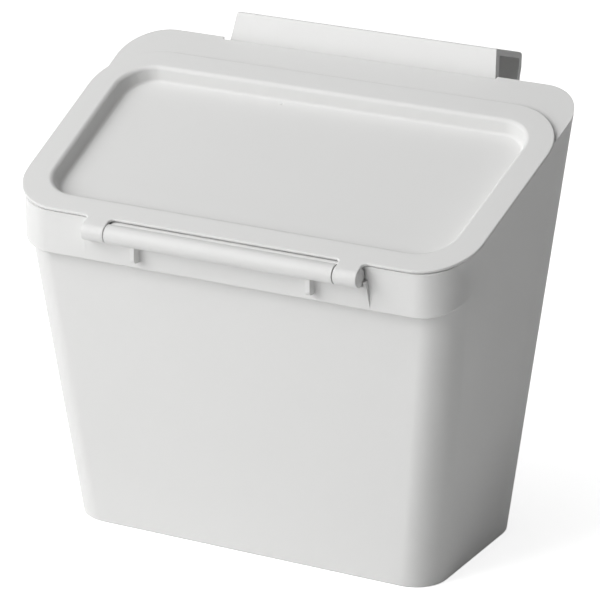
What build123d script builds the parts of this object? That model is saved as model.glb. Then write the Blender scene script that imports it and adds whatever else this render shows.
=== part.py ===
"""Door-hung kitchen waste bin: a tapered tub, a front-hinged sloping lid and a door bracket.

The frame has its origin at the centre of the base, on the surface the bin stands on.
X runs along the width, Y runs from the front towards the door and Z points up.
The lid is shut, and the bracket leans back on its heel as it does off the door.
All sizes are millimetres and angles are degrees.
"""
import os
from math import cos, radians, sin, tan

from build123d import *

os.makedirs("parts", exist_ok=True)

# tub: outer walls, each leaning out by its draft per millimetre of height
base_half_width = 82.0
base_half_depth = 41.95
side_draft = 0.1155
front_draft = 0.101
back_draft = 0.0597
front_corner_radius = 14.2
back_corner_radius = 19.2
block_height = 190.0
tub_wall = 1.8
tub_floor = 2.2
foot_edge_cut = 0.7

# sloping top: the lid's upper face rises from its front edge towards the door
lid_slope = 22.25
lid_front_y = -59.15
lid_front_z = 138.1
lid_length = 104.2
lid_front_half_width = 99.8
lid_back_half_width = 104.3
lid_front_corner_radius = 23.0
lid_back_corner_radius = 26.0
lid_thickness = 1.4
lid_seat_gap = 0.25

# pressed tray in the lid, hanging into the mouth of the tub
tray_front = 10.5
tray_back = 93.4
tray_front_half_width = 89.6
tray_back_half_width = 94.2
tray_corner_radius = 16.0
tray_depth = 3.8
tray_wall_lean = 45.0
tray_skirt_start = 0.6
tray_floor_radius = 1.2
gate_mark_x = -18.1
gate_mark_along = 86.0
gate_mark_radius = 0.6
gate_mark_depth = 0.2

# deck behind the lid, and the notch in its back edge for the bracket
deck_end_along = 60.0
mouth_half_width = 98.0
mouth_back_along = 97.4
mouth_corner_radius = 18.0
mouth_flare = 10.0
deck_thickness = 1.8
notch_half_width = 62.5
notch_edge_y = 51.35
notch_corner_radius = 1.5

# raised band round the front of the mouth
band_setback = 0.8
band_half_width = 97.4
band_corner_radius = 16.5
band_depth = 16.6
band_run_back = 34.8
band_lower_edge_cut = 0.8
band_wall = 2.0
hinge_pad_half_width = 66.0

# lid hinge at the front: body knuckle between two ears of the lid
hinge_ahead = 2.8
hinge_drop = 5.3
knuckle_half_length = 49.9
ear_gap = 0.5
ear_end_x = 60.4
hinge_pin_radius = 1.7
hinge_pin_length = 4.0
hinge_pin_clearance = 0.06
pin_hole_end_gap = 0.4
ear_swing_clearance = 0.5
tongue_fillet = 2.0

# wedge-shaped plate and two short ribs that carry the knuckle; drops are below the lid's edge
plate_half_width = 62.8
plate_top_half_width = 61.9
plate_foot_drop = 18.2
plate_lip_ahead = 2.2
plate_lip_drop = 7.1
web_top_drop = 3.3
web_top_setback = 1.5
rib_centre_x = 38.6
rib_thickness = 1.9
rib_ahead = 1.3
rib_bottom_drop = 15.7
rib_top_drop = 7.3
rib_foot_radius = 2.0

# bracket: an inverted channel that hooks over a cabinet door
bracket_lean = 17.5
bracket_pivot_y = 52.45
bracket_pivot_rise = 32.9
front_leg_thickness = 3.3
door_gap = 19.6
channel_thickness = 2.6
bracket_top = 21.8
bracket_top_half_width = 58.9
bracket_outer_radius = 1.2
bracket_top_corner_radius = 1.0
grip_bend_drop = 6.0
grip_lean = 15.0
grip_length = 13.0
lead_in_length = 5.0
lead_in_lean = 25.0
heel_length = 6.3
heel_thickness = 2.0
barrel_radius = 2.4
barrel_half_length = 61.4
bracket_pin_radius = 1.5
bracket_pin_length = 2.4
bracket_pin_clearance = 0.06

# channel down the back wall and the two lugs that hold the bracket's pins
channel_half_width = 62.0
channel_floor_y = 49.55
lug_thickness = 3.6
lug_root_y = 48.95
channel_side_wall = 3.6

# derived positions
hinge_y = lid_front_y - hinge_ahead
hinge_z = lid_front_z - hinge_drop
band_front_y = lid_front_y + band_setback
band_back_y = band_front_y + band_run_back
plate_foot_z = lid_front_z - plate_foot_drop
plate_lip_y = band_front_y - plate_lip_ahead
plate_lip_z = lid_front_z - plate_lip_drop
web_top_z = lid_front_z - web_top_drop
rib_front_y = hinge_y - rib_ahead
rib_bottom_z = lid_front_z - rib_bottom_drop
rib_top_z = lid_front_z - rib_top_drop
bracket_pivot_z = lid_front_z + bracket_pivot_rise
slope = radians(lid_slope)
lean = radians(bracket_lean)
rim_drop = lid_thickness + lid_seat_gap
lid_plane = Plane(
    origin=(0, lid_front_y, lid_front_z),
    x_dir=(1, 0, 0),
    z_dir=(0, -sin(slope), cos(slope)),
)
rim_plane = lid_plane.offset(-rim_drop)
side_plane = Plane(origin=(0, 0, 0), x_dir=(0, 1, 0), z_dir=(1, 0, 0))
bracket_plane = Plane(
    origin=(0, bracket_pivot_y, bracket_pivot_z),
    x_dir=(0, cos(lean), -sin(lean)),
    z_dir=(1, 0, 0),
)
bracket_front_plane = Plane(
    origin=(0, bracket_pivot_y, bracket_pivot_z),
    x_dir=(1, 0, 0),
    z_dir=(0, -cos(lean), sin(lean)),
)
hinge_along_slope = (hinge_y - lid_front_y) * cos(slope) + (hinge_z - lid_front_z) * sin(slope)
hinge_radius = (hinge_y - lid_front_y) * sin(slope) - (hinge_z - lid_front_z) * cos(slope)
ear_start_x = knuckle_half_length + ear_gap
tray_wall_shift = lid_thickness / cos(radians(tray_wall_lean))
channel_foot_z = (channel_floor_y - base_half_depth) / back_draft
reach = 400.0


def rim_height(y):
    """Height of the sloping rim of the tub at a distance y."""
    return lid_front_z - rim_drop / cos(slope) + (y - lid_front_y) * tan(slope)


def tub_form(inset, foot):
    """Drafted block with rounded uprights: the tub's outside moved in by inset, from a foot up."""
    half_width = base_half_width - inset
    half_depth = base_half_depth - inset
    with BuildPart() as form:
        with BuildSketch(Plane.XZ):
            Polygon(
                (-half_width - side_draft * foot, foot),
                (half_width + side_draft * foot, foot),
                (half_width + side_draft * block_height, block_height),
                (-half_width - side_draft * block_height, block_height),
                align=None,
            )
        extrude(amount=reach, both=True)
        with BuildSketch(side_plane):
            Polygon(
                (-half_depth - front_draft * foot, foot),
                (half_depth + back_draft * foot, foot),
                (half_depth + back_draft * block_height, block_height),
                (-half_depth - front_draft * block_height, block_height),
                align=None,
            )
        extrude(amount=reach, both=True, mode=Mode.INTERSECT)
        uprights = form.edges().filter_by(lambda edge: edge.bounding_box().size.Z > block_height / 2)
        fillet(uprights.sort_by(Axis.Y)[:2], front_corner_radius - inset)
        uprights = form.edges().filter_by(lambda edge: edge.bounding_box().size.Z > block_height / 2)
        fillet(uprights.sort_by(Axis.Y)[-2:], back_corner_radius - inset)
    return form.part


def band_outline(inset):
    """Outline of the front band, whose sides run back into the side walls."""
    with BuildSketch(Plane.XY.offset(base_half_depth)) as outline:
        with Locations((0, (band_front_y + inset + band_back_y) / 2)):
            Rectangle(2 * (band_half_width - inset), band_back_y - band_front_y - inset)
        fillet(outline.vertices().group_by(Axis.Y)[0], band_corner_radius - inset)
    return outline.sketch


def lid_section(below, grow):
    """Tapered, rounded outline of the tray at a depth below the lid's face, made larger by grow."""
    corners = [
        (-tray_front_half_width - grow, tray_front - grow),
        (tray_front_half_width + grow, tray_front - grow),
        (tray_back_half_width + grow, tray_back + grow),
        (-tray_back_half_width - grow, tray_back + grow),
    ]
    with BuildSketch(lid_plane.offset(-below)) as section:
        Polygon(*corners, align=None)
        fillet(section.vertices(), tray_corner_radius + grow)
    return section.sketch


def shifted(path, distance):
    """A path moved sideways to its right by distance, with mitred corners."""
    moved = []
    for index, (across, up) in enumerate(path):
        before = path[max(index - 1, 0)]
        after = path[min(index + 1, len(path) - 1)]
        if index in (0, len(path) - 1):
            run = (after[0] - before[0], after[1] - before[1])
            length = (run[0] ** 2 + run[1] ** 2) ** 0.5
            moved.append((across + distance * run[1] / length, up - distance * run[0] / length))
            continue
        first = (across - before[0], up - before[1])
        second = (after[0] - across, after[1] - up)
        first_length = (first[0] ** 2 + first[1] ** 2) ** 0.5
        second_length = (second[0] ** 2 + second[1] ** 2) ** 0.5
        normal = (
            first[1] / first_length + second[1] / second_length,
            -first[0] / first_length - second[0] / second_length,
        )
        size = (normal[0] ** 2 + normal[1] ** 2) ** 0.5
        scale = 2 * distance / size**2
        moved.append((across + normal[0] * scale, up + normal[1] * scale))
    return moved


outside_form = tub_form(0, 0)
inside_form = tub_form(tub_wall, tub_floor)
channel_wall_top_z = rim_height(channel_floor_y - tub_wall) - deck_thickness / 2

# deck: a slab on the rim round the back of the mouth, with the bracket's notch
with BuildPart() as deck:
    add(outside_form)
    with BuildSketch(rim_plane):
        with Locations((0, deck_end_along + reach / 2)):
            Rectangle(reach, reach)
        Polygon(
            (-reach, deck_end_along),
            (-mouth_half_width, deck_end_along + mouth_flare),
            (-mouth_half_width, mouth_back_along - mouth_corner_radius),
            (mouth_half_width, mouth_back_along - mouth_corner_radius),
            (mouth_half_width, deck_end_along + mouth_flare),
            (reach, deck_end_along),
            align=None,
            mode=Mode.SUBTRACT,
        )
        with Locations((0, mouth_back_along - mouth_corner_radius)):
            RectangleRounded(
                2 * mouth_half_width,
                2 * mouth_corner_radius,
                mouth_corner_radius - 0.01,
                mode=Mode.SUBTRACT,
            )
    extrude(amount=-deck_thickness, mode=Mode.INTERSECT)
    with BuildSketch(Plane.XY) as notch:
        with Locations((0, notch_edge_y + reach / 2)):
            Rectangle(2 * notch_half_width, reach)
        fillet(notch.vertices().group_by(Axis.Y)[0], notch_corner_radius)
    extrude(amount=reach, mode=Mode.SUBTRACT)

# band round the front of the mouth, with its lower edge parallel to the rim
with BuildPart() as band:
    add(band_outline(0))
    extrude(amount=block_height - base_half_depth)
    with BuildSketch(rim_plane.offset(-band_depth)):
        Rectangle(reach, reach)
    extrude(amount=-reach, mode=Mode.SUBTRACT)
    band_foot = band.faces().sort_by(Axis((0, 0, 0), lid_plane.z_dir))[0]
    chamfer(band_foot.edges().sort_by(Axis.Y)[:-1], band_lower_edge_cut)

# inside of the band on each side of the hinge
with BuildPart() as band_pocket:
    add(band_outline(band_wall))
    extrude(amount=block_height - base_half_depth)
    with BuildSketch(rim_plane.offset(band_wall - band_depth)):
        Rectangle(reach, reach)
    extrude(amount=-reach, mode=Mode.SUBTRACT)
    with BuildSketch(Plane.XY):
        Rectangle(2 * hinge_pad_half_width, reach)
    extrude(amount=reach, mode=Mode.SUBTRACT)

# plate under the hinge: level with the band at its foot, proud of it at its lip
with BuildPart() as plate:
    with BuildSketch(side_plane.offset(-plate_half_width)):
        Polygon(
            (band_front_y + band_wall, plate_foot_z),
            (band_front_y, plate_foot_z),
            (plate_lip_y, plate_lip_z),
            (band_front_y + band_wall, plate_lip_z),
            align=None,
        )
    extrude(amount=2 * plate_half_width)
    with BuildSketch(Plane.XZ):
        Polygon(
            (-plate_half_width, plate_foot_z),
            (plate_half_width, plate_foot_z),
            (plate_top_half_width, plate_lip_z + 1),
            (-plate_top_half_width, plate_lip_z + 1),
            align=None,
        )
    extrude(amount=reach, both=True, mode=Mode.INTERSECT)

with BuildPart() as bin_body:
    add(outside_form)
    chamfer(bin_body.faces().sort_by(Axis.Z)[0].edges(), foot_edge_cut)
    add(band.part)
    # everything above the sloping rim is cut away
    with BuildSketch(rim_plane):
        Rectangle(reach, reach)
    extrude(amount=reach, mode=Mode.SUBTRACT)
    # inside of the tub, and the step in it behind the band on each side of the hinge
    add(inside_form, mode=Mode.SUBTRACT)
    add(band_pocket.part, mode=Mode.SUBTRACT)
    # back wall set in behind the bracket, so that its channel keeps its wall
    with BuildSketch(Plane.XY.offset(channel_foot_z)):
        with Locations((0, channel_floor_y - tub_wall / 2)):
            Rectangle(2 * (channel_half_width + channel_side_wall), tub_wall)
    extrude(amount=channel_wall_top_z - channel_foot_z)
    with BuildSketch(Plane.XY.offset(channel_foot_z)):
        with Locations((0, channel_floor_y + reach / 2)):
            Rectangle(2 * channel_half_width, reach)
    extrude(amount=reach, mode=Mode.SUBTRACT)
    add(deck.part)
    # hinge plate, knuckle and the web that joins the knuckle to the band
    add(plate.part)
    with BuildSketch(side_plane.offset(-knuckle_half_length)):
        with Locations((hinge_y, hinge_z)):
            Circle(hinge_radius)
        Polygon(
            (plate_lip_y, plate_lip_z - 1),
            (hinge_y, hinge_z),
            (hinge_y + web_top_setback, web_top_z),
            (band_front_y + 1, web_top_z),
            (band_front_y + 1, plate_lip_z - 1),
            align=None,
        )
    extrude(amount=2 * knuckle_half_length)
    # ribs from the knuckle down the plate
    for rib_x in (-rib_centre_x, rib_centre_x):
        with BuildSketch(side_plane.offset(rib_x - rib_thickness / 2)) as rib:
            Polygon(
                (band_front_y, rib_bottom_z),
                (rib_front_y, rib_bottom_z),
                (rib_front_y, rib_top_z),
                (band_front_y, rib_top_z),
                align=None,
            )
            fillet(rib.vertices().group_by(Axis.Y)[0].sort_by(Axis.X)[0], rib_foot_radius)
        extrude(amount=rib_thickness)
    # room for the ears of the lid to turn
    for ear_x in (-ear_end_x - ear_gap, knuckle_half_length):
        with BuildSketch(side_plane.offset(ear_x)):
            with Locations((hinge_y, hinge_z)):
                Circle(hinge_radius + ear_swing_clearance)
        extrude(amount=ear_end_x + ear_gap - knuckle_half_length, mode=Mode.SUBTRACT)
    # holes in the knuckle ends for the lid's pins
    for end_x, direction in ((-knuckle_half_length, 1), (knuckle_half_length, -1)):
        with BuildSketch(side_plane.offset(end_x)):
            with Locations((hinge_y, hinge_z)):
                Circle(hinge_pin_radius + hinge_pin_clearance)
        extrude(amount=direction * (hinge_pin_length - ear_gap + pin_hole_end_gap), mode=Mode.SUBTRACT)
    # lugs at the ends of the channel, with blind holes for the bracket's pins
    for lug_x, direction in ((-channel_half_width, -1), (channel_half_width, 1)):
        with BuildSketch(side_plane.offset(lug_x)):
            with Locations((bracket_pivot_y, bracket_pivot_z)):
                Circle(barrel_radius)
            with Locations(((lug_root_y + bracket_pivot_y) / 2, bracket_pivot_z)):
                Rectangle(bracket_pivot_y - lug_root_y, 2 * barrel_radius)
        extrude(amount=direction * lug_thickness)
        with BuildSketch(side_plane.offset(lug_x)):
            with Locations((bracket_pivot_y, bracket_pivot_z)):
                Circle(bracket_pin_radius + bracket_pin_clearance)
        hole_depth = barrel_half_length + bracket_pin_length - channel_half_width + pin_hole_end_gap
        extrude(amount=direction * hole_depth, mode=Mode.SUBTRACT)

# lid: flat flange, tongues running on to the ears, and the pressed tray
with BuildPart() as tray_hollow:
    add(lid_section(0, 0))
    extrude(amount=-tray_depth, taper=tray_wall_lean)
    tray_floor_edges = tray_hollow.faces().sort_by(Axis((0, 0, 0), lid_plane.z_dir))[0].edges()
    fillet(tray_floor_edges, tray_floor_radius)

with BuildPart() as lid:
    with BuildSketch(lid_plane) as lid_outline:
        Polygon(
            (-lid_front_half_width, 0),
            (lid_front_half_width, 0),
            (lid_back_half_width, lid_length),
            (-lid_back_half_width, lid_length),
            align=None,
        )
        fillet(lid_outline.vertices().group_by(Axis.Y)[0], lid_front_corner_radius)
        fillet(lid_outline.vertices().group_by(Axis.Y)[-1], lid_back_corner_radius)
        for side in (-1, 1):
            with Locations((side * (ear_start_x + ear_end_x) / 2, -tongue_fillet)):
                Rectangle(ear_end_x - ear_start_x, 2 * tongue_fillet + 1)
        tongue_roots = lid_outline.vertices().filter_by(
            lambda corner: ear_start_x - 1 < abs(corner.X) < ear_end_x + 1
            and abs(corner.Y) < 0.1
        )
        fillet(tongue_roots, tongue_fillet)
    extrude(amount=-lid_thickness)
    add(lid_section(tray_skirt_start, tray_wall_shift - tray_skirt_start))
    extrude(amount=tray_skirt_start - tray_depth - lid_thickness, taper=tray_wall_lean)
    add(tray_hollow.part, mode=Mode.SUBTRACT)
    # ears: a round that the tongue's upper face runs on to
    for ear_x in (-ear_end_x, ear_start_x):
        ear_plane = Plane(
            origin=(ear_x, lid_front_y, lid_front_z),
            x_dir=lid_plane.y_dir,
            z_dir=(1, 0, 0),
        )
        with BuildSketch(ear_plane):
            with Locations((hinge_along_slope, -hinge_radius)):
                Circle(hinge_radius)
            Polygon(
                (hinge_along_slope, 0),
                (1, 0),
                (1, -lid_thickness),
                (hinge_along_slope, -lid_thickness),
                align=None,
            )
        extrude(amount=ear_end_x - ear_start_x)
    # pins from the ears into the knuckle
    for pin_x, direction in ((-ear_start_x, 1), (ear_start_x, -1)):
        with BuildSketch(side_plane.offset(pin_x)):
            with Locations((hinge_y, hinge_z)):
                Circle(hinge_pin_radius)
        extrude(amount=direction * hinge_pin_length)
    # moulding gate mark on the tray floor
    with BuildSketch(lid_plane.offset(-tray_depth)):
        with Locations((gate_mark_x, gate_mark_along)):
            Circle(gate_mark_radius)
    extrude(amount=-gate_mark_depth, mode=Mode.SUBTRACT)

# bracket: channel section swept straight across, then its ends trimmed to their flare
front_face = barrel_radius - front_leg_thickness
rear_face = barrel_radius + door_gap + channel_thickness
grip_top = bracket_top - grip_bend_drop
grip_end = (
    rear_face - grip_length * sin(radians(grip_lean)),
    grip_top - grip_length * cos(radians(grip_lean)),
)
lead_end = (
    grip_end[0] + lead_in_length * sin(radians(lead_in_lean)),
    grip_end[1] - lead_in_length * cos(radians(lead_in_lean)),
)
rear_path = [(rear_face, bracket_top), (rear_face, grip_top), grip_end, lead_end]
rear_inside = shifted(rear_path, channel_thickness)
with BuildPart() as door_bracket:
    with BuildSketch(bracket_plane) as channel:
        Polygon(
            (front_face, 0),
            (front_face, bracket_top),
            *rear_path,
            *reversed(rear_inside[1:]),
            (rear_face - channel_thickness, bracket_top - channel_thickness),
            (barrel_radius, bracket_top - channel_thickness),
            (barrel_radius, 0),
            align=None,
        )
        Circle(barrel_radius)
        with Locations((front_face + heel_thickness / 2, -heel_length / 2)):
            Rectangle(heel_thickness, heel_length)
        outer_corners = channel.vertices().group_by(Axis.Y)[-1]
        fillet(outer_corners, bracket_outer_radius)
    extrude(amount=reach / 4, both=True)
    with BuildSketch(bracket_front_plane) as ends:
        Polygon(
            (-barrel_half_length, -2 * heel_length),
            (barrel_half_length, -2 * heel_length),
            (barrel_half_length, 0),
            (bracket_top_half_width, bracket_top),
            (-bracket_top_half_width, bracket_top),
            (-barrel_half_length, 0),
            align=None,
        )
        fillet(ends.vertices().group_by(Axis.Y)[-1], bracket_top_corner_radius)
    extrude(amount=reach / 4, both=True, mode=Mode.INTERSECT)
    for end_x, direction in ((-barrel_half_length, -1), (barrel_half_length, 1)):
        with BuildSketch(bracket_plane.offset(end_x)):
            Circle(bracket_pin_radius)
        extrude(amount=direction * bracket_pin_length)

bin_body.part.label = "bin_body"
lid.part.label = "lid"
door_bracket.part.label = "door_bracket"
export_step(bin_body.part, "parts/bin_body.step")
export_step(lid.part, "parts/lid.step")
export_step(door_bracket.part, "parts/door_bracket.step")
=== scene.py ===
"""Looks of a door-hung kitchen waste bin: three moulded polypropylene pieces on a white studio sweep.

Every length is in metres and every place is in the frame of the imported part.
"""

from math import cos, radians, sin

import bmesh
import bpy
import numpy as np
from mathutils import Matrix, Vector


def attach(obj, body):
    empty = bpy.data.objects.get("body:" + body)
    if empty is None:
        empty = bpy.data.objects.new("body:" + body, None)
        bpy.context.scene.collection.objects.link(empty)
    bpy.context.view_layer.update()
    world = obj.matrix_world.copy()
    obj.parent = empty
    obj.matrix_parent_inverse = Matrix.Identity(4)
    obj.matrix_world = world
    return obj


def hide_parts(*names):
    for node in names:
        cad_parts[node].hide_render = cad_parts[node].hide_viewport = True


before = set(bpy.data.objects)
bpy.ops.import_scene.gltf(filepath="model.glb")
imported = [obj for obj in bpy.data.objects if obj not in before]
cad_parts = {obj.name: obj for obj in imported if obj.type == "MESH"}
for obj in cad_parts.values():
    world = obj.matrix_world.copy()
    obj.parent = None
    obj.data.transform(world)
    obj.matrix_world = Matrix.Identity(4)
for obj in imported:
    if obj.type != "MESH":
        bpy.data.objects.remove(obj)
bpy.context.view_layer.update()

MM = 0.001

# the photograph's view: angles round the bin, distance to what the lens points at, and lens length
VIEW_AZIMUTH = radians(28.23)
VIEW_ELEVATION = radians(19.81)
VIEW_DISTANCE = 1.4933
VIEW_TARGET = Vector((0.0088, -0.01355, 0.1001))
LENS_LENGTH_MM = 226.5
SENSOR_WIDTH_MM = 36.0

# moulded edges: the smallest rounding that a mould leaves on an outer edge
EDGE_ROUNDING = 0.35 * MM
EDGE_STEPS = 2
SHARP_ANGLE = radians(32)
JOIN_DISTANCE = 0.002 * MM

# lid, in millimetres as it is drawn: place and slope of its upper face, outline and sheet
LID_FRONT_Y = -59.15
LID_FRONT_Z = 138.1
LID_SLOPE = radians(22.25)
LID_LENGTH = 104.2
LID_FRONT_HALF_WIDTH = 99.8
LID_BACK_HALF_WIDTH = 104.3
LID_FRONT_CORNER = 23.0
LID_BACK_CORNER = 26.0
LID_SHEET = 1.4
LID_EDGE_ROUND = 0.65

# tray pressed into the lid
TRAY_FRONT = 10.5
TRAY_BACK = 93.4
TRAY_FRONT_HALF_WIDTH = 88.1
TRAY_BACK_HALF_WIDTH = 92.0
TRAY_CORNER = 14.0
TRAY_DEPTH = 6.1
TRAY_LEAN = radians(18)
TRAY_TOP_ROUND = 2.2
TRAY_FLOOR_ROUND = 1.6
TRAY_UNDER_ROUND = 0.5
GATE_PLACE = (-20.4, 89.2)
GATE_RADIUS = 0.6
GATE_DEPTH = 0.2
CORNER_STEPS = 17

# ears of the lid, turned about the hinge pin
HINGE_Y = -61.95
HINGE_Z = 132.8
EAR_START = 50.4
EAR_END = 60.4
EAR_ROOT_ROUND = 2.0
EAR_EDGE_ROUND = 0.35
PIN_RADIUS = 1.7
PIN_LENGTH = 4.0
PIN_TIP_ROUND = 0.3

# web behind the body's knuckle: half width, reach along the lid's slope, and heights under its face
WEB_HALF_WIDTH = 49.9
WEB_FRONT = -1.75
WEB_BACK = 0.9
WEB_TOP = -1.65
WEB_BOTTOM = -3.8

# studio sweep: floor, bend and wall
SWEEP_HALF_WIDTH = 3.0
SWEEP_FRONT = -2.6
SWEEP_BACK = 2.2
SWEEP_BEND = 0.8
SWEEP_HEIGHT = 2.6
PAPER_WHITE = "F0F0F0"
PAPER_GLOW = 0.8

# studio light: square lamps aimed at the middle of the bin, and a faint glow from the room
LAMP_TARGET = (0.0, 0.0, 0.1)
KEY_PLACE = (-1.15, -1.35, 1.15)
KEY_SIZE = 1.9
KEY_POWER = 45.5
TOP_PLACE = (-0.3, -0.2, 1.9)
TOP_SIZE = 1.2
TOP_POWER = 8
ROOM_GLOW = 0.09

# colour and roughness of the two plastics
LIGHT_GREY = ("DDDDDC", 0.6)
OFF_WHITE = ("E2E2E1", 0.55)


def linear(hex_colour):
    """Linear RGBA of an sRGB hex colour."""
    values = np.array([int(hex_colour[i : i + 2], 16) for i in (0, 2, 4)]) / 255.0
    low = values / 12.92
    high = ((values + 0.055) / 1.055) ** 2.4
    return (*np.where(values <= 0.04045, low, high).tolist(), 1.0)


def add_node(tree, kind, settings=(), **links):
    """A node of one kind, with settings by name and input links by socket name."""
    node = tree.nodes.new(kind)
    for name, value in dict(settings).items():
        if name in node.inputs:
            node.inputs[name].default_value = value
        else:
            setattr(node, name, value)
    for name, source in links.items():
        tree.links.new(source, node.inputs[name.replace("_", " ")])
    return node


def polypropylene(name, colour, roughness):
    """Injection-moulded polypropylene: a soft satin skin from a spark-eroded mould.

    Satin gives a broad, dim sheen; the mould's grain breaks it up at about half a millimetre.
    """
    grain_size = 0.45 * MM
    grain_depth = 0.02 * MM
    sink_size = 38 * MM
    sheen_change = 0.03
    material = bpy.data.materials.new(name)
    material.use_nodes = True
    tree = material.node_tree
    tree.nodes.clear()
    place = add_node(tree, "ShaderNodeTexCoord")
    grain = add_node(
        tree,
        "ShaderNodeTexNoise",
        {"Scale": 1 / grain_size, "Detail": 2.0, "Roughness": 0.5},
        Vector=place.outputs["Object"],
    )
    grain_relief = add_node(
        tree,
        "ShaderNodeBump",
        {"Strength": 0.10, "Distance": grain_depth},
        Height=grain.outputs["Fac"],
    )
    # slow sink of the wall as the plastic cools, seen only as a slight change of sheen
    sink = add_node(
        tree,
        "ShaderNodeTexNoise",
        {"Scale": 1 / sink_size, "Detail": 1.0, "Roughness": 0.4},
        Vector=place.outputs["Object"],
    )
    sheen_range = add_node(
        tree,
        "ShaderNodeMapRange",
        {
            "From Min": 0.3,
            "From Max": 0.7,
            "To Min": roughness - sheen_change,
            "To Max": roughness + sheen_change,
        },
        Value=sink.outputs["Fac"],
    )
    skin = add_node(
        tree,
        "ShaderNodeBsdfPrincipled",
        {"Base Color": linear(colour), "IOR": 1.49, "Metallic": 0.0},
        Roughness=sheen_range.outputs["Result"],
        Normal=grain_relief.outputs["Normal"],
    )
    add_node(tree, "ShaderNodeOutputMaterial", Surface=skin.outputs["BSDF"])
    return material


def backdrop_paper():
    """Matt white paper: diffuse, and shown to the camera and in gloss as lit paper."""
    material = bpy.data.materials.new("backdrop paper")
    material.use_nodes = True
    tree = material.node_tree
    tree.nodes.clear()
    path = add_node(tree, "ShaderNodeLightPath")
    seen = add_node(tree, "ShaderNodeMath", {"operation": "MAXIMUM"})
    tree.links.new(path.outputs["Is Camera Ray"], seen.inputs[0])
    tree.links.new(path.outputs["Is Glossy Ray"], seen.inputs[1])
    paper = add_node(tree, "ShaderNodeBsdfDiffuse", {"Color": linear(PAPER_WHITE)})
    glow = add_node(tree, "ShaderNodeEmission", {"Color": linear("FFFFFF"), "Strength": PAPER_GLOW})
    both = add_node(tree, "ShaderNodeAddShader")
    tree.links.new(paper.outputs["BSDF"], both.inputs[0])
    tree.links.new(glow.outputs["Emission"], both.inputs[1])
    choice = add_node(tree, "ShaderNodeMixShader")
    tree.links.new(seen.outputs["Value"], choice.inputs[0])
    tree.links.new(paper.outputs["BSDF"], choice.inputs[1])
    tree.links.new(both.outputs["Shader"], choice.inputs[2])
    add_node(tree, "ShaderNodeOutputMaterial", Surface=choice.outputs["Shader"])
    return material


def studio_sweep():
    """Floor, bend and wall in one sheet.

    The profile is a straight floor, a quarter circle and a straight wall; each of its points is
    carried along X between the two edges of the sheet.
    """
    turn = np.linspace(0, np.pi / 2, 17)
    bend_y = SWEEP_BACK + SWEEP_BEND * np.sin(turn)
    profile_y = np.concatenate([[SWEEP_FRONT], bend_y, [SWEEP_BACK + SWEEP_BEND]])
    profile_z = np.concatenate([[0.0], SWEEP_BEND * (1 - np.cos(turn)), [SWEEP_HEIGHT]])
    across = np.array([-SWEEP_HALF_WIDTH, SWEEP_HALF_WIDTH])
    grid_x, grid_y = np.meshgrid(across, profile_y, indexing="ij")
    grid_z = np.broadcast_to(profile_z, grid_y.shape)
    points = np.stack([grid_x, grid_y, grid_z], axis=-1).reshape(-1, 3)
    count = len(profile_y)
    start = np.arange(count - 1)
    faces = np.stack([start, start + count, start + count + 1, start + 1], axis=-1)
    mesh = bpy.data.meshes.new("studio sweep")
    mesh.from_pydata(points.tolist(), [], faces.tolist())
    mesh.polygons.foreach_set("use_smooth", [True] * len(faces))
    mesh.materials.append(backdrop_paper())
    sweep = bpy.data.objects.new("studio sweep", mesh)
    bpy.context.scene.collection.objects.link(sweep)


def rounded_outline(corners, radii, steps=9):
    """Closed outline with round corners, and the way in which each of its points moves as it grows.

    Between edges whose outward normals are n1 and n2 a corner becomes the arc c + r n, in which n
    turns evenly from n1 to n2 and c = corner - r (n1 + n2) / (1 + n1.n2).  A hollow corner has r
    below zero.  Growing by g moves each point by g n, and a sharp corner, which has no radius,
    by g (n1 + n2) / (1 + n1.n2).
    """
    corners = np.array(corners, dtype=float)
    along = np.roll(corners, -1, axis=0) - corners
    along /= np.linalg.norm(along, axis=1, keepdims=True)
    after = np.stack([along[:, 1], -along[:, 0]], axis=1)
    before = np.roll(after, 1, axis=0)
    mitre = (before + after) / (1 + np.sum(before * after, axis=1, keepdims=True))
    points = []
    growth = []
    for corner, first, last, middle, radius in zip(corners, before, after, mitre, radii):
        turn = np.arctan2(first[0] * last[1] - first[1] * last[0], first @ last)
        angle = np.arctan2(first[1], first[0]) + turn * np.linspace(0, 1, steps)
        normal = np.stack([np.cos(angle), np.sin(angle)], axis=1)
        if radius == 0:
            normal = middle[None]
        points.append(corner - radius * middle + radius * normal)
        growth.append(normal)
    return np.concatenate(points), np.concatenate(growth)


def wall_profile(start, top, top_round, foot, foot_round, lean, steps=7):
    """Section of a leaning wall between a flat edge and a flat foot, as growths and heights.

    The wall runs down the line x = start - (top - z) tan(lean).  The upper round is the arc about
    (start + t, top - r) from straight up to the wall's normal, and the lower one the arc about
    (x(foot) - u, foot + q) from the wall's normal to straight down, with t = r tan(45 - lean / 2)
    and u = q tan(45 - lean / 2).
    """
    tangent = np.tan(np.pi / 4 - lean / 2)
    upper = np.linspace(np.pi / 2, np.pi - lean, steps)
    lower = np.linspace(-lean, -np.pi / 2, steps)
    upper_x = start + top_round * (tangent + np.cos(upper))
    upper_z = top + top_round * (np.sin(upper) - 1)
    foot_x = start - (top - foot) * np.tan(lean)
    lower_x = foot_x + foot_round * (np.cos(lower) - tangent)
    lower_z = foot + foot_round * (np.sin(lower) + 1)
    return np.concatenate([upper_x, lower_x]), np.concatenate([upper_z, lower_z])


def lid_place(across, along, out):
    """World points, in metres, of millimetres across the lid, up its slope and out of its face."""
    y = LID_FRONT_Y + along * np.cos(LID_SLOPE) - out * np.sin(LID_SLOPE)
    z = LID_FRONT_Z + along * np.sin(LID_SLOPE) + out * np.cos(LID_SLOPE)
    return np.stack(np.broadcast_arrays(across, y, z), axis=-1) * MM


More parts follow.
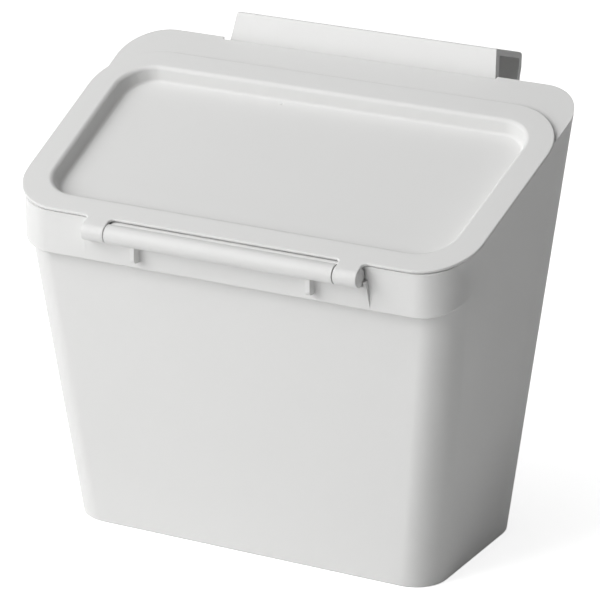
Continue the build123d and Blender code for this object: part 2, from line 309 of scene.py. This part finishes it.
def outline_rings(outline, growth, profile_x, profile_z):
    """Rows of points on the lid: row k is outline + x_k growth, at height z_k."""
    spread = outline[None] + profile_x[:, None, None] * growth[None]
    return lid_place(spread[..., 0], spread[..., 1], profile_z[:, None])


def turned_rings(profile_x, profile_r, segments=40):
    """Rows of points about the hinge: row k is the circle of radius r_k in the plane x = x_k."""
    angle = np.linspace(0, 2 * np.pi, segments, endpoint=False)
    y = HINGE_Y + profile_r[:, None] * np.cos(angle)
    z = HINGE_Z + profile_r[:, None] * np.sin(angle)
    return np.stack(np.broadcast_arrays(profile_x[:, None], y, z), axis=-1) * MM


def closed_mesh(name, skins, flats):
    """Mesh of several skins whose rows run round, with each flat face filled between its rows.

    Point j of row i is joined to its neighbours in row i + 1 and at j + 1, going round.  A flat
    face is a list of (skin, row) pairs: its outer edge and the edges of the holes in it.
    """
    corners = []
    faces = []
    rows = []
    total = 0
    for points in skins:
        index = total + np.arange(points.shape[0] * points.shape[1]).reshape(points.shape[:2])
        beside = np.roll(index, -1, axis=1)
        skin = np.stack([index[:-1], index[1:], beside[1:], beside[:-1]], axis=-1)
        corners.append(points.reshape(-1, 3))
        faces.append(skin.reshape(-1, 4))
        rows.append(index)
        total += index.size
    mesh = bpy.data.meshes.new(name)
    mesh.from_pydata(np.concatenate(corners).tolist(), [], np.concatenate(faces).tolist())
    shape = bmesh.new()
    shape.from_mesh(mesh)
    shape.verts.ensure_lookup_table()
    for flat in flats:
        edges = []
        for skin, row in flat:
            ring = [shape.verts[number] for number in rows[skin][row].tolist()]
            edges += [shape.edges.get(pair) for pair in zip(ring, ring[1:] + ring[:1])]
        bmesh.ops.triangle_fill(shape, use_beauty=True, edges=edges)
    bmesh.ops.recalc_face_normals(shape, faces=shape.faces)
    shape.to_mesh(mesh)
    shape.free()
    return mesh


def sheet_edge(ear_edge):
    """Edge of the lid's sheet and of the tongues that reach to the ears.

    Its section is a quarter circle of radius r down from the upper face, and one to the lower face.
    """
    sheet, growth = rounded_outline(
        [
            (-LID_FRONT_HALF_WIDTH, 0),
            (-EAR_END, 0),
            (-EAR_END, ear_edge),
            (-EAR_START, ear_edge),
            (-EAR_START, 0),
            (EAR_START, 0),
            (EAR_START, ear_edge),
            (EAR_END, ear_edge),
            (EAR_END, 0),
            (LID_FRONT_HALF_WIDTH, 0),
            (LID_BACK_HALF_WIDTH, LID_LENGTH),
            (-LID_BACK_HALF_WIDTH, LID_LENGTH),
        ],
        [LID_FRONT_CORNER]
        + 2 * [-EAR_ROOT_ROUND, 0, 0, -EAR_ROOT_ROUND]
        + [LID_FRONT_CORNER, LID_BACK_CORNER, LID_BACK_CORNER],
        steps=CORNER_STEPS,
    )
    turn = np.linspace(0, np.pi / 2, 6)
    edge_x = LID_EDGE_ROUND * np.concatenate([np.sin(turn), np.cos(turn)]) - LID_EDGE_ROUND
    upper_z = LID_EDGE_ROUND * (np.cos(turn) - 1)
    lower_z = LID_EDGE_ROUND * (1 - np.sin(turn)) - LID_SHEET
    return outline_rings(sheet, growth, edge_x, np.concatenate([upper_z, lower_z]))


def tray_walls():
    """Walls of the pressed tray, seen from above and from below, one sheet's thickness apart."""
    tray, growth = rounded_outline(
        [
            (-TRAY_FRONT_HALF_WIDTH, TRAY_FRONT),
            (TRAY_FRONT_HALF_WIDTH, TRAY_FRONT),
            (TRAY_BACK_HALF_WIDTH, TRAY_BACK),
            (-TRAY_BACK_HALF_WIDTH, TRAY_BACK),
        ],
        4 * [TRAY_CORNER],
        steps=CORNER_STEPS,
    )
    upper = wall_profile(0, 0, TRAY_TOP_ROUND, -TRAY_DEPTH, TRAY_FLOOR_ROUND, TRAY_LEAN)
    under_start = LID_SHEET * (1 / cos(TRAY_LEAN) - np.tan(TRAY_LEAN))
    under = wall_profile(
        under_start,
        -LID_SHEET,
        TRAY_UNDER_ROUND,
        -TRAY_DEPTH - LID_SHEET,
        TRAY_FLOOR_ROUND + LID_SHEET,
        TRAY_LEAN,
    )
    return outline_rings(tray, growth, *upper), outline_rings(tray, growth, *under)


def gate_mark():
    """Gate mark: a round dimple in the tray's floor, whose side curves in towards its bottom."""
    angle = np.linspace(0, 2 * np.pi, 20, endpoint=False)
    round_way = np.stack([np.cos(angle), np.sin(angle)], axis=1)
    return outline_rings(
        np.array(GATE_PLACE) + GATE_RADIUS * round_way,
        round_way,
        -GATE_RADIUS * np.array([0.0, 0.15, 0.45]),
        -TRAY_DEPTH - GATE_DEPTH * np.array([0.0, 0.7, 1.0]),
    )


def ear_and_pin(ear_radius, side):
    """Ear and stub pin turned about the hinge, at the right for side 1 and at the left for -1.

    Their section has a quarter circle at the pin's tip and at each edge of the ear.
    """
    turn = np.linspace(0, np.pi / 2, 5)
    tip_x = PIN_TIP_ROUND * (1 - np.cos(turn))
    tip_r = PIN_TIP_ROUND * (1 - np.sin(turn))
    edge_x = EAR_EDGE_ROUND * (1 - np.cos(turn))
    edge_r = EAR_EDGE_ROUND * (1 - np.sin(turn))
    profile_x = np.concatenate(
        [EAR_START - PIN_LENGTH + tip_x, [EAR_START], EAR_START + edge_x, EAR_END - edge_x[::-1]]
    )
    profile_r = np.concatenate(
        [PIN_RADIUS - tip_r, [PIN_RADIUS], ear_radius - edge_r, ear_radius - edge_r[::-1]]
    )
    return turned_rings(side * profile_x, profile_r)


def lid_mesh():
    """The lid as one moulding: sheet with a round edge, tongues, pressed tray, ears and pins.

    The skins are the sheet's edge, the tray's walls above and below, the gate mark, and the ears
    with their pins.  The flats between them are the lid's faces, the tray's floor and the ends.
    """
    ear_edge = (HINGE_Y - LID_FRONT_Y) * cos(LID_SLOPE) + (HINGE_Z - LID_FRONT_Z) * sin(LID_SLOPE)
    ear_radius = (HINGE_Y - LID_FRONT_Y) * sin(LID_SLOPE) - (HINGE_Z - LID_FRONT_Z) * cos(LID_SLOPE)
    skins = [
        sheet_edge(ear_edge),
        *tray_walls(),
        gate_mark(),
        ear_and_pin(ear_radius, 1),
        ear_and_pin(ear_radius, -1),
    ]
    edge, tray_above, tray_below, gate, right_ear, left_ear = range(len(skins))
    flats = [
        [(edge, 0), (tray_above, 0)],
        [(edge, -1), (tray_below, 0)],
        [(tray_above, -1), (gate, 0)],
        [(gate, -1)],
        [(tray_below, -1)],
        [(right_ear, 0)],
        [(right_ear, -1)],
        [(left_ear, 0)],
        [(left_ear, -1)],
    ]
    return closed_mesh("lid_moulding", skins, flats)


def web_mesh():
    """The web between knuckle and band: a bar whose top lies close under the lid's front edge.

    Its section, four corners in the lid's own directions, is carried along X between its ends.
    """
    section = np.array(
        [
            (WEB_FRONT, WEB_TOP),
            (WEB_BACK, WEB_TOP),
            (WEB_BACK, WEB_BOTTOM),
            (WEB_FRONT, WEB_BOTTOM),
        ]
    )
    ends = np.array([-WEB_HALF_WIDTH, WEB_HALF_WIDTH])
    bar = lid_place(ends[:, None], section[:, 0], section[:, 1])
    return closed_mesh("knuckle_web", [bar], [[(0, 0)], [(0, -1)]])


def shade_smooth(piece):
    """Curves shaded smooth, creases kept, and flat faces left flat."""
    split = piece.modifiers.new("keep creases", "EDGE_SPLIT")
    split.split_angle = SHARP_ANGLE
    flatten = piece.modifiers.new("flat faces stay flat", "WEIGHTED_NORMAL")
    flatten.mode = "FACE_AREA"
    flatten.weight = 100
    flatten.keep_sharp = True
    piece.data.polygons.foreach_set("use_smooth", [True] * len(piece.data.polygons))


def add_moulding(name, mesh, material, body):
    """A new piece of the object that rides on one body and takes its finish from one slot."""
    piece = bpy.data.objects.new(name, mesh)
    mesh.materials.append(material)
    bpy.context.scene.collection.objects.link(piece)
    shade_smooth(piece)
    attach(piece, body)
    return piece


def finish_moulding(node, material):
    """A CAD piece with its material, its small outer edges rounded and its curves shaded smooth."""
    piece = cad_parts[node]
    piece.data.materials.clear()
    piece.data.materials.append(material)
    weld = piece.modifiers.new("join facets", "WELD")
    weld.merge_threshold = JOIN_DISTANCE
    rounding = piece.modifiers.new("mould rounding", "BEVEL")
    rounding.width = EDGE_ROUNDING
    rounding.segments = EDGE_STEPS
    rounding.limit_method = "ANGLE"
    rounding.angle_limit = SHARP_ANGLE
    rounding.use_clamp_overlap = True
    rounding.harden_normals = False
    shade_smooth(piece)


def add_lamp(name, place, size, power):
    """A soft square lamp at a place, pointed at the middle of the bin."""
    data = bpy.data.lights.new(name, "AREA")
    data.shape = "SQUARE"
    data.size = size
    data.energy = power
    lamp = bpy.data.objects.new(name, data)
    lamp.location = place
    aim = Vector(LAMP_TARGET) - Vector(place)
    lamp.rotation_euler = aim.to_track_quat("-Z", "Y").to_euler()
    bpy.context.scene.collection.objects.link(lamp)


def studio_light():
    """A big soft lamp from the front left, a weak one above, and a faint glow from the room."""
    add_lamp("key lamp", KEY_PLACE, KEY_SIZE, KEY_POWER)
    add_lamp("top lamp", TOP_PLACE, TOP_SIZE, TOP_POWER)
    world = bpy.data.worlds.new("studio surround")
    bpy.context.scene.world = world
    world.use_nodes = True
    tree = world.node_tree
    tree.nodes.clear()
    path = add_node(tree, "ShaderNodeLightPath")
    room = add_node(
        tree,
        "ShaderNodeBackground",
        {"Color": linear("FFFFFF"), "Strength": ROOM_GLOW},
    )
    white = add_node(tree, "ShaderNodeBackground", {"Color": linear("FFFFFF"), "Strength": 1.0})
    choice = add_node(tree, "ShaderNodeMixShader")
    tree.links.new(path.outputs["Is Camera Ray"], choice.inputs[0])
    tree.links.new(room.outputs["Background"], choice.inputs[1])
    tree.links.new(white.outputs["Background"], choice.inputs[2])
    add_node(tree, "ShaderNodeOutputWorld", Surface=choice.outputs["Shader"])


def photograph_camera():
    """The camera at the photograph's angle, level, with its target in the middle of the frame."""
    right = Vector((cos(VIEW_AZIMUTH), sin(VIEW_AZIMUTH), 0.0))
    back = Vector(
        (
            sin(VIEW_AZIMUTH) * cos(VIEW_ELEVATION),
            -cos(VIEW_AZIMUTH) * cos(VIEW_ELEVATION),
            sin(VIEW_ELEVATION),
        )
    )
    up = back.cross(right)
    data = bpy.data.cameras.new("photograph camera")
    data.lens = LENS_LENGTH_MM
    data.sensor_width = SENSOR_WIDTH_MM
    data.clip_start = 0.01
    data.clip_end = 20.0
    camera = bpy.data.objects.new("photograph camera", data)
    turn = Matrix((right, up, back)).transposed().to_4x4()
    camera.matrix_world = Matrix.Translation(VIEW_TARGET + VIEW_DISTANCE * back) @ turn
    bpy.context.scene.collection.objects.link(camera)
    bpy.context.scene.camera = camera


light_grey = polypropylene("moulded polypropylene, light grey", *LIGHT_GREY)
off_white = polypropylene("moulded polypropylene, off-white grey", *OFF_WHITE)
finish_moulding("bin_body", light_grey)
finish_moulding("door_bracket", off_white)
lid_piece = add_moulding("lid_moulding", lid_mesh(), light_grey, "lid")
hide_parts("lid")
add_moulding("knuckle_web", web_mesh(), light_grey, "body")

studio_sweep()
studio_light()
photograph_camera()
bpy.context.scene.view_settings.view_transform = "Standard"
